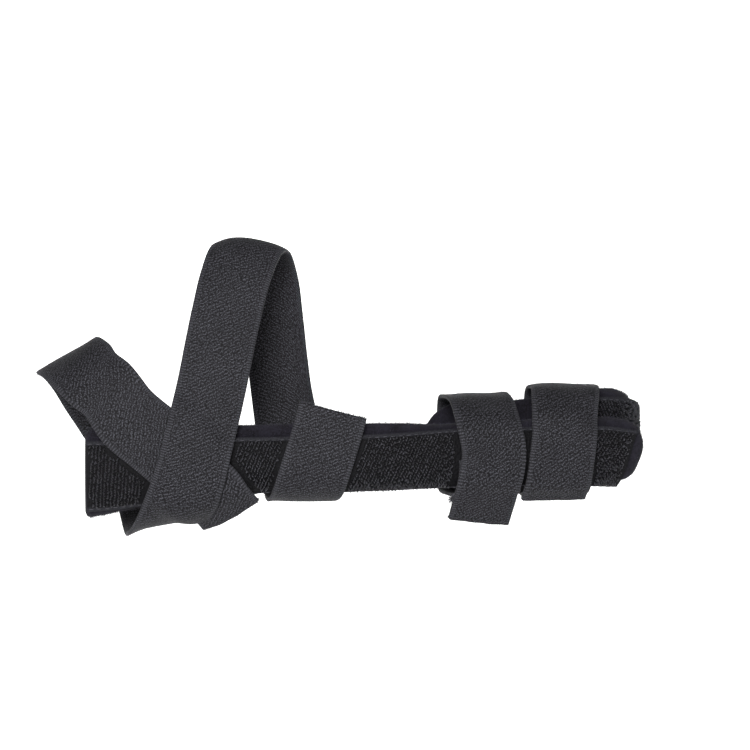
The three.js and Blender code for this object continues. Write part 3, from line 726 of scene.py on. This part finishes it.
class LongBarLine:
    """The long bar's line through the form: a strip's point is at x and at the length s round the section,
    s = upper edge - half the bar's width + t."""

    def __init__(self):
        self.x = FORM_SURFACE.x
        top = smooth(LONG_BAR_EDGE["x"], LONG_BAR_EDGE["top"], share_of(self.x)) * FORM_BREADTH
        self.s = FORM_SURFACE.length_at_height(self.x, top) - BAR_WIDTH / 2

    def middle(self, x):
        """The length round the section of the bar's middle line."""
        return np.interp(x, self.x, self.s)


LONG_BAR = LongBarLine()


class FingerBarLine:
    """The finger bar's line: along behind the channel, round the tip in a half circle and back in front."""

    # How far the upper corners fall at the fold, how far the edges bend inwards, how much further the fold
    # reaches, and its gap in front
    FALL = 2.4
    CUP = 1.6
    FOLD_OVER = 0.9
    FRONT_GAP = 5 * TOUCH_GAP

    def __init__(self):
        def read(name, x):
            """A column of the form's table at x, in millimetres."""
            return smooth(FORM["x"], FORM[name], x / FINGER_REACH) * FORM_DEPTH

        def behind(x):
            """How far behind the middle of the form the line is."""
            return read("far", x) + BAR_STACK - TOUCH_GAP

        def before(x):
            """The same in front, where it is negative."""
            return -(read("near", x) - self.FRONT_GAP)

        fold = np.array([FINGER_REACH * 0.85])
        radius = float((behind(fold) - before(fold))[0] / 2)
        turn_x = FINGER_REACH - radius
        leg = np.linspace(FINGER_BAR_START, turn_x, 60)
        angle = np.linspace(0, np.pi, 60)[1:-1]
        back = np.linspace(turn_x, turn_x - FOLD_BACK, 20)
        bend_x = turn_x + radius * np.sin(angle)
        x = np.concatenate([leg, bend_x, back])
        depth = np.concatenate(
            [behind(leg), behind(np.array([turn_x])) - radius + radius * np.cos(angle), before(back)]
        )
        self.fold = np.concatenate([leg * 0, np.sin(angle), back * 0])
        y = read("away", x) + depth
        x = x + self.FOLD_OVER * self.fold
        self.x, self.y = x, y
        self.length = np.concatenate([[0], np.cumsum(np.hypot(np.diff(x), np.diff(y)))])
        self.total = self.length[-1]

    def point(self, at, t, height):
        """The point t across and that height over the line's face, at the length `at` along it."""
        x, y = np.interp(at, self.length, self.x), np.interp(at, self.length, self.y)
        normal = self.normal(at)
        place = np.where(at < self.total / 2, x / FINGER_REACH, 1.0)
        top = smooth(FINGER_BAR_EDGE["x"], FINGER_BAR_EDGE["top"], place) * FORM_BREADTH
        fall = np.interp(at, self.length, self.fold) ** 3 * self.FALL
        flatter = 1 - 0.7 * smoothstep(at / self.total, 0.4, 0.8)
        share = t / (FINGER_BAR_WIDTH / 2)
        z = top[:, None] - FINGER_BAR_WIDTH / 2 + t - fall[:, None] * np.maximum(share, 0) ** 2
        bend = -self.CUP * share**2 * flatter[:, None]
        x, y = np.broadcast_to(x[:, None], z.shape), np.broadcast_to(y[:, None], z.shape)
        base = np.stack([x, y, z], axis=-1)
        return base + normal[:, None] * (bend + height)[..., None]

    def normal(self, at):
        """The outward normal of the line, level with the ground."""
        ahead, behind = np.minimum(at + 1.0, self.total), np.maximum(at - 1.0, 0)
        dx = np.interp(ahead, self.length, self.x) - np.interp(behind, self.length, self.x)
        dy = np.interp(ahead, self.length, self.y) - np.interp(behind, self.length, self.y)
        return unit(np.stack([-dy, dx, dx * 0], axis=-1))


FINGER_BAR = FingerBarLine()


def pad_profile(share, thickness):
    """Half the thickness of a stuffed bar across its width: H (1 - |share|^4)^(1/2.2), so that it is flat in
    the middle and has round shoulders."""
    return 0.5 * thickness * (1 - np.clip(np.abs(share), 0, 1) ** 4) ** (1 / 2.2)


def padded_bar(name, line_point, start, end, start_radius, end_radius, width, seed):
    """A padded bar's mesh: pad_profile across, pinched where the tape is sewn on, and with a soft uneven
    face. Its ends close like its sides."""
    x = rounded_places(start, end, start_radius, end_radius, 1.0)
    half = half_width(x, start, end, start_radius, end_radius, width)
    share = np.sin(np.linspace(-np.pi / 2, np.pi / 2, 41))
    t = half[:, None] * share
    u, v = t, np.broadcast_to(x[:, None], t.shape)
    from_end = np.minimum(x - start, end - x)
    swell = np.sqrt(np.clip(1 - (1 - np.clip(from_end / 2.2, 0, 1)) ** 2, 0.02, 1))[:, None]
    thick = pad_profile(share[None, :], BAR_THICKNESS) * swell
    seam = np.exp(-(((np.abs(t) - (TAPE_WIDTH / 2 + 0.3)) / 0.7) ** 2))
    uneven = 0.12 * wave_noise(u, v, 7.0, seed) + 0.05 * wave_noise(u, v, 2.2, seed + 1)
    top = thick * (1 - 0.18 * seam) + uneven * swell
    centre = COVER_TOP + BAR_THICKNESS / 2
    outer = line_point(x, t, centre - top)
    inner = line_point(x, t, centre + thick)
    return closed_sheet(name, outer, inner, np.stack([u, v], axis=-1))


def long_bar_point(x, t, depth):
    """A point of the long bar. Its tip end is cut on the slant: there x goes on by TIP_OVER and falls back by
    TIP_SLANT (1/2 - t/width), both fading in over the last TIP_SLANT_REACH. At the wrist end it is wider by
    the share WRIST_WIDER and lies WRIST_DROP lower, t' = t + fade (WRIST_WIDER t - WRIST_DROP). Towards the
    tip its lower edge falls by TIP_WIDER (1/2 - t/width)."""
    fade = smoothstep(x, FINGER_REACH - TIP_SLANT_REACH, FINGER_REACH)
    wrist = 1 - smoothstep(x, -WRIST_REACH, -WRIST_REACH / 2)
    t = np.asarray(t)
    tip = smoothstep(x, FINGER_REACH - TIP_SLANT_REACH, FINGER_REACH - TAPE_TIP_MARGIN)
    t = t + wrist[:, None] * (WRIST_WIDER * t - WRIST_DROP) - tip[:, None] * TIP_WIDER * (0.5 - t / BAR_WIDTH)
    slanted = x[:, None] + fade[:, None] * (TIP_OVER - TIP_SLANT * (0.5 - t / BAR_WIDTH))
    s = LONG_BAR.middle(slanted) + t
    base = FORM_SURFACE.point(slanted, s)
    return base - FORM_SURFACE.slopes(slanted, s)[2] * np.asarray(depth)[..., None]


def finger_bar_point(at, t, depth):
    """A point of the finger bar, that depth under its line's face."""
    return FINGER_BAR.point(at, t, -depth)


def tape_mesh(name, line_point, start, end, seed):
    """The tape's woven ground: a thin closed sheet with a raised, rounded selvedge."""
    radius = TAPE_CORNER_RADIUS
    x = rounded_places(start, end, radius, radius, 0.8)
    half = half_width(x, start, end, radius, radius, TAPE_WIDTH)
    share = np.sin(np.linspace(-np.pi / 2, np.pi / 2, 33))
    t = half[:, None] * share
    u, v = t, np.broadcast_to(x[:, None], t.shape)
    edge = np.clip((np.abs(t) - 8.5) / 0.4, 0, 1)
    round_off = np.sqrt(np.clip(1 - np.clip((np.abs(t) - 9.5) / 0.5, 0, 1) ** 2, 0.1, 1))
    top = TAPE_FACE_DEPTH - 0.3 * edge - 0.06 * wave_noise(u, v, 3.0, seed) + 0.35 * (1 - round_off)
    outer = line_point(x, t, top)
    inner = line_point(x, t, np.full(t.shape, TAPE_THICKNESS))
    return closed_sheet(name, outer, inner, np.stack([u, v], axis=-1))


def hook_field(name, line_point, start, end, covers, seed):
    """Hooks of the tape as one mesh. They stand in rows HOOK_ROW apart that slant over the tape, every
    HOOK_PITCH along a row. Each is a bent thread with the path up * height * rise(a) + lean * width *
    (1 - cos a), a from 0 to 205 degrees, where rise is sin a and, past a right angle, (1 + sin a) / 2. So it
    stands up and curls over, in most of them to the one side in one row and to the other in the next."""
    draw = np.random.default_rng(seed)
    rows = np.arange(start - 12, end + 12, HOOK_ROW)
    across = np.arange(-8.5, 8.6, HOOK_PITCH)
    r, c = np.meshgrid(rows, across, indexing="ij")
    odd = (np.arange(len(rows)) % 2)[:, None]
    slant = 0.08 + 0.36 * smoothstep(r, start + 4, start + 50)
    x = r + slant * c + draw.normal(0, 0.07, r.shape)
    t = c + 0.5 * HOOK_PITCH * odd + draw.normal(0, 0.05, r.shape)
    side = np.where(draw.uniform(0, 1, r.shape) < 0.15, -1.0, 1.0) * (1 - 2 * odd)
    keep = (x > start + 0.8) & (x < end - 1.3) & (np.abs(t) < HOOK_FIELD_HALF)
    x, t, side = x[keep], t[keep], side[keep]
    step = 0.2
    deep, high = np.full((len(x), 1), HOOK_FOOT_DEPTH), np.full((len(x), 1), -0.4)
    foot = line_point(x, t[:, None], deep)[:, 0]
    over = line_point(x, t[:, None], high)[:, 0]
    ahead = line_point(x + step, t[:, None], deep)[:, 0]
    beside = line_point(x, t[:, None] + step, deep)[:, 0]
    keep = gap_to(over, covers) > HOOK_CLEARANCE
    foot, over, ahead, beside, side = foot[keep], over[keep], ahead[keep], beside[keep], side[keep]
    n = len(foot)
    up, along, sideways = unit(over - foot), unit(ahead - foot), unit(beside - foot)
    up = unit(up + draw.normal(0, 0.08, up.shape))
    lean = unit(sideways * side[:, None] + along * draw.normal(0.5, 0.15, (n, 1)))
    turn = np.radians(np.array([0, 45, 85, 125, 165, 205]))
    rise = np.where(turn < np.pi / 2, np.sin(turn), 0.5 + 0.5 * np.sin(turn))
    height = HOOK_HEIGHT * draw.uniform(0.82, 1.12, n)
    width = HOOK_REACH * draw.uniform(0.85, 1.15, n)
    path = (
        foot[:, None]
        + up[:, None] * (height[:, None] * rise)[..., None]
        + lean[:, None] * (width[:, None] * (1 - np.cos(turn)))[..., None]
    )
    radius = HOOK_RADIUS * np.linspace(1.05, 0.8, len(turn))
    return tubes(name, path, unit(np.cross(up, lean)), np.broadcast_to(radius, path.shape[:2]), 4)


def plush_nap(name, line_point, start, end, start_radius, end_radius, width, per_mm2, seed):
    """The nap of a bar's cover: short fine hairs on its faces, as needles that stand out from it."""
    draw = np.random.default_rng(seed)
    count = int((end - start) * width * per_mm2)
    x = draw.uniform(start + 0.3, end - 0.3, count)
    half = half_width(x, start, end, start_radius, end_radius, width)
    share = np.sin(draw.uniform(-np.pi / 2, np.pi / 2, count))
    at_edge = draw.uniform(0, 1, count) < 0.45
    share = np.where(at_edge, np.sign(share) * (1 - 0.04 * draw.uniform(0, 1, count)), share)
    t = half * share
    keep = (np.abs(t) > TAPE_WIDTH / 2) | (x > end - TAPE_TIP_MARGIN) | (draw.uniform(0, 1, count) < 0.3)
    x, t, share = x[keep], t[keep], share[keep]
    side = np.where(draw.uniform(0, 1, len(x)) < 0.6, 1.0, -1.0)
    side = np.where((np.abs(t) < TAPE_WIDTH / 2) & (x < end - TAPE_TIP_MARGIN), -1.0, side)
    thick = pad_profile(share, BAR_THICKNESS) * side
    centre = COVER_TOP + BAR_THICKNESS / 2
    foot = line_point(x, t[:, None], (centre - thick)[:, None])[:, 0]
    core = line_point(x, (t * 0.88)[:, None], np.full((len(x), 1), centre))[:, 0]
    direction = unit(unit(foot - core) + draw.normal(0, 0.45, foot.shape))
    length = draw.uniform(0.45, 1.05, len(foot))
    return needles(name, foot - direction * 0.1, direction, length, 0.055)


def gap_to(points, clouds):
    """Each point's distance to the nearest point of the clouds: sqrt(|a|^2 + |b|^2 - 2 a.b), in blocks."""
    cloud = np.concatenate(clouds)
    square = (cloud**2).sum(1)
    gaps = [
        np.sqrt(np.maximum((block**2).sum(1)[:, None] + square - 2 * block @ cloud.T, 0).min(1))
        for block in np.array_split(points, max(len(points) // 256, 1))
    ]
    return np.concatenate(gaps)


def tubes(name, path, side, radius, corners):
    """Many short tubes as one mesh: each has a ring of corners round every point of its path, shape (tubes,
    points, 3), and a flat cap at both ends. side is a vector across each tube's plane."""
    n, rings = path.shape[:2]
    tangent = unit(np.gradient(path, axis=1))
    other = np.cross(tangent, side[:, None])
    turn = np.arange(corners) * 2 * np.pi / corners
    ring = path[:, :, None] + radius[..., None, None] * (
        side[:, None, None] * np.cos(turn)[:, None] + other[:, :, None] * np.sin(turn)[:, None]
    )
    first = np.arange(n)[:, None] * rings * corners
    k, m = np.meshgrid(np.arange(rings - 1), np.arange(corners), indexing="ij")
    a, b = (k * corners + m).ravel(), (k * corners + (m + 1) % corners).ravel()
    quads = (first[:, :, None] + np.stack([a, b, b + corners, a + corners], axis=1)[None]).reshape(-1, 4)
    near = first + np.arange(corners)[::-1]
    far = first + (rings - 1) * corners + np.arange(corners)
    points = ring.reshape(-1, 3)
    turned, caps = outward(points, quads), np.concatenate([near, far])
    return mesh_object(name, points, turned, caps=caps if turned is quads else caps[:, ::-1])


def cut_end_fray(name, straps, seed):
    """Threads that stand out of the straps' cut ends, all along the cut."""
    draw = np.random.default_rng(seed)
    feet, ways, lengths = [], [], []
    for strap, end, count in straps:
        outer = strap.outer
        row, before = (outer[0], outer[4]) if end == 0 else (outer[-1], outer[-5])
        at = draw.uniform(0, len(row) - 1.001, count)
        i = at.astype(int)
        f = (at - i)[:, None]
        foot = row[i] * (1 - f) + row[i + 1] * f
        way = unit(row - before)[i]
        normal = (strap.normal[0] if end == 0 else strap.normal[-1])[i]
        foot = foot - normal * draw.uniform(0.1, 1.0, (count, 1)) * STRAP_THICKNESS - way * 0.2
        feet.append(foot)
        ways.append(unit(way + draw.normal(0, 0.3, foot.shape)))
        lengths.append(draw.uniform(0.3, 1.2, count))
    return needles(name, np.concatenate(feet), np.concatenate(ways), np.concatenate(lengths), 0.09)


def frayed_tuft(name, strap, place, seed):
    """A frayed bit of a strap's edge: threads rooted in the edge's point nearest to a place, fanning out down
    and sideways."""
    draw = np.random.default_rng(seed)
    edges = np.concatenate([strap.outer[:, 0], strap.outer[:, -1]])
    root = edges[np.argmin(np.linalg.norm(edges - np.array(place), axis=1))]
    count = 60
    foot = root + draw.normal(0, 1, (count, 3)) * (0.25, 0.35, 0.35)
    way = unit(np.array([-0.8, -0.05, -0.6]) + draw.normal(0, 0.38, (count, 3)))
    return needles(name, foot, way, draw.uniform(1.2, 2.8, count), 0.16)


def strap_fuzz(name, strap, per_mm2, seed):
    """Loose ends of the brushed loops on both faces of a strap and out of its edges: needles along the
    normal, leaning any way, and sideways at the edges."""
    draw = np.random.default_rng(seed)
    count = int(strap.length() * STRAP_WIDTH * per_mm2)
    rows, cols = strap.outer.shape[:2]
    i = draw.integers(0, rows, count)
    j = draw.integers(0, cols, count)
    side = np.where(draw.uniform(0, 1, count) < 0.6, 1.0, -1.0)
    normal = strap.normal[i, j]
    across = unit(strap.outer[i, np.minimum(j + 1, cols - 1)] - strap.outer[i, np.maximum(j - 1, 0)])
    outwards = np.clip((np.abs(strap.t[j]) - STRAP_WIDTH / 2 + 0.6) / 0.6, 0, 1) * np.sign(strap.t[j])
    depth = strap.half[j] * (1 - side)
    foot = strap.outer[i, j] - normal * depth[:, None] + across * draw.uniform(-0.3, 0.3, (count, 1))
    way = unit(normal * side[:, None] + across * outwards[:, None] * 1.5 + draw.normal(0, 0.6, foot.shape))
    return needles(name, foot - way * 0.12, way, draw.uniform(0.25, 0.6, count), 0.05)


def stitches(name, line_point, start, end, across):
    """A row of stitches along a tape's edge: each is a thin tube 0.7 of the pitch long that dips into the
    tape at both ends, depth = 0.25 + 0.4 k^4."""
    pitch = STITCH_PITCH
    centres = np.arange(start + pitch / 2, end - pitch / 2, pitch)
    k = np.linspace(-1, 1, 7)
    x = (centres[:, None] + k * pitch * 0.35).ravel()
    depth = np.tile(0.25 + 0.4 * k**4, len(centres))[:, None]
    t = np.full((x.size, 1), across)
    path = line_point(x, t, depth).reshape(len(centres), 7, 3)
    above = line_point(x, t, depth - 0.5).reshape(len(centres), 7, 3)
    radius = np.broadcast_to(0.15 * np.sqrt(np.clip(1 - k**4, 0.2, 1)), path.shape[:2])
    return tubes(name, path, unit(above - path)[:, 3], radius, 5)


def dress(obj, material):
    """Gives a piece its material and the body that it rides on."""
    obj.data.materials.append(material)
    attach(obj, "root")
    return obj


# Each bar's name and function, its ends, their radii and its width, and its tape's ends
BARS = (
    (
        "long_bar", long_bar_point,
        (-WRIST_REACH, FINGER_REACH, BAR_WRIST_RADIUS, BAR_TIP_RADIUS, BAR_WIDTH),
        (-WRIST_REACH + TAPE_WRIST_MARGIN, FINGER_REACH - TAPE_TIP_MARGIN),
    ),
    (
        "finger_bar", finger_bar_point,
        (0.0, FINGER_BAR.total, BAR_TIP_RADIUS, BAR_WRIST_RADIUS, FINGER_BAR_WIDTH),
        (TAPE_TIP_MARGIN, FINGER_BAR.total - TAPE_TIP_MARGIN),
    ),
)


def build_straps(loop_tape, fray):
    """Makes the three straps, with the loose fibres on them, and returns them."""
    wrist = Strap(WRIST_THUMB_ROUTE, start_tail=WRIST_START_TAIL, end_tail=WRIST_END_TAIL)
    base = Strap(FINGER_BASE_ROUTE, end_tail=BASE_END_TAIL)
    tip = Strap(FINGER_TIP_ROUTE, end_tail=TIP_END_TAIL)
    for strap, name, seed, rests in (
        (wrist, "wrist_thumb_strap", 11, ["long_bar", "long_bar_hook_tape"]),
        (base, "finger_strap_base", 12, ["long_bar_hook_tape", "finger_bar"]),
        (tip, "finger_strap_tip", 13, ["long_bar_hook_tape", "finger_bar"]),
    ):
        piece = dress(strap.mesh(name + "_cloth", seed), loop_tape)
        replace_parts(piece, name)
        strap.length() * MM
        dress(strap_fuzz(name + "_fuzz", strap, FUZZ_PER_MM2, seed + 40), fray)
    return wrist, base, tip


def build_bars(plush, hook_ground):
    """Makes the covers of both bars and the ground of their tapes."""
    for k, (name, point, shape, tape_ends) in enumerate(BARS):
        cover = dress(padded_bar(name + "_cover", point, *shape, 21 + 2 * k), plush)
        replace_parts(cover, name)
        ground = tape_mesh(name + "_tape_ground", point, *tape_ends, 22 + 2 * k)
        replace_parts(dress(ground, hook_ground), name + "_hook_tape")


def build_hooks_and_nap(straps, hook_thread, nap_hair):
    """Makes the hooks of both tapes, where no strap covers them, and the nap of both bars. The wrist strap
    doesn't touch the finger bar."""
    covers = [strap.base[::2, ::2].reshape(-1, 3) for strap in straps]
    for k, (name, point, _, tape_ends) in enumerate(BARS):
        hooks = hook_field(name + "_hooks", point, *tape_ends, covers[k:], 31 + k)
        dress(hooks, hook_thread)
    for k, (name, point, shape, _) in enumerate(BARS):
        dress(plush_nap(name + "_nap", point, *shape, NAP_PER_MM2, 41 + k), nap_hair)


def build_frays(straps, fray):
    """Makes the threads at the straps' cut ends and the frayed tuft of the base strap."""
    wrist, base, tip = straps
    ends = ((wrist, 0, 220), (wrist, -1, 220), (base, 0, 150), (base, -1, 220), (tip, 0, 150), (tip, -1, 220))
    dress(cut_end_fray("cut_end_threads", ends, 43), fray)
    dress(frayed_tuft("finger_strap_base_tuft", base, BASE_TUFT_PLACE, 44), fray)


def build_stitches(sewing):
    """Makes the two rows of stitches of each tape."""
    for name, point, _, tape_ends in BARS:
        for side, across in (("upper", STITCH_LINE), ("lower", -STITCH_LINE)):
            dress(stitches(f"{name}_{side}_stitches", point, *tape_ends, across), sewing)


def build_splint():
    """Makes the materials and every piece of the splint."""
    loop_tape = loop_tape_material()
    plush = plush_material()
    hook_ground = hook_ground_material()
    hook_thread = nylon_material("black_hook_nylon", "#0f0f11", "#27272b", 0.4)
    sewing = nylon_material("charcoal_sewing_thread", "#18181b", "#2b2b30", 0.6)
    nap_hair = nylon_material("navy_plush_hair", "#100f14", "#201f29", 0.9)
    fray = nylon_material("charcoal_yarn", "#131315", "#2c2c30", 0.8)

    straps = build_straps(loop_tape, fray)
    build_bars(plush, hook_ground)
    build_hooks_and_nap(straps, hook_thread, nap_hair)
    build_frays(straps, fray)
    build_stitches(sewing)


def build_studio():
    """A pale floor that curves up into a wall far behind, an even sky, a soft main light near the camera and
    another one behind the splint."""
    floor_z, reach, depth, wall, radius = -130.0, 9000.0, 1500.0, 1500.0, 500.0
    angle = np.linspace(0, np.pi / 2, 17)
    y = np.concatenate([[-reach], depth - radius + radius * np.sin(angle), [depth]])
    z = np.concatenate([[floor_z], floor_z + radius * (1 - np.cos(angle)), [wall]])
    x = np.array([-reach, reach])
    points = np.stack([np.repeat(x, len(y)), np.tile(y, 2), np.tile(z, 2)], axis=1)
    i = np.arange(len(y) - 1)
    n = len(y)
    faces = np.stack([i, i + 1, i + 1 + n, i + n], axis=1)[:, ::-1]
    floor = mesh_object("studio_floor", points, faces)
    material, _, shader = cloth_material("pale_paper")
    shader.inputs["Base Color"].default_value = linear("#fafafa")
    shader.inputs["Roughness"].default_value = 0.9
    shader.inputs["Emission Color"].default_value = linear("#ffffff")
    shader.inputs["Emission Strength"].default_value = 0.6
    floor.data.materials.append(material)

    world = bpy.data.worlds.new("even_sky")
    world.use_nodes = True
    sky = world.node_tree.nodes["Background"]
    sky.inputs[0].default_value = linear("#ffffff")
    sky.inputs[1].default_value = 0.5
    bpy.context.scene.world = world
    bpy.context.scene.view_settings.view_transform = "Standard"

    # Places and sizes in metres, power in watts
    for name, place, size, power in (
        ("soft_front_light", (-0.1, -0.92, 0.28), 0.36, 22.0),
        ("soft_back_light", (0.2, 0.95, -0.02), 0.35, 20.0),
    ):
        light = bpy.data.lights.new(name, "AREA")
        light.shape = "DISK"
        light.size = size
        light.energy = power
        lamp = bpy.data.objects.new(name, light)
        bpy.context.scene.collection.objects.link(lamp)
        lamp.location = place
        lamp.rotation_mode = "QUATERNION"
        lamp.rotation_quaternion = (-Vector(place)).to_track_quat("-Z", "Y")


def build_camera():
    """Looks along +Y. Its lens gives PIXELS_PER_MM at PHOTO_PLANE."""
    camera = bpy.data.cameras.new("camera")
    camera.sensor_width = 36.0
    camera.lens = camera.sensor_width * (CAMERA_DISTANCE + PHOTO_PLANE) / (PHOTO_PIXELS / PIXELS_PER_MM)
    camera.clip_start = 0.01
    obj = bpy.data.objects.new("camera", camera)
    obj.location = (CAMERA_X * MM, -CAMERA_DISTANCE * MM, CAMERA_Z * MM)
    obj.rotation_euler = (math.pi / 2, 0, 0)
    bpy.context.scene.collection.objects.link(obj)
    bpy.context.scene.camera = obj


build_camera()
build_splint()
build_studio()
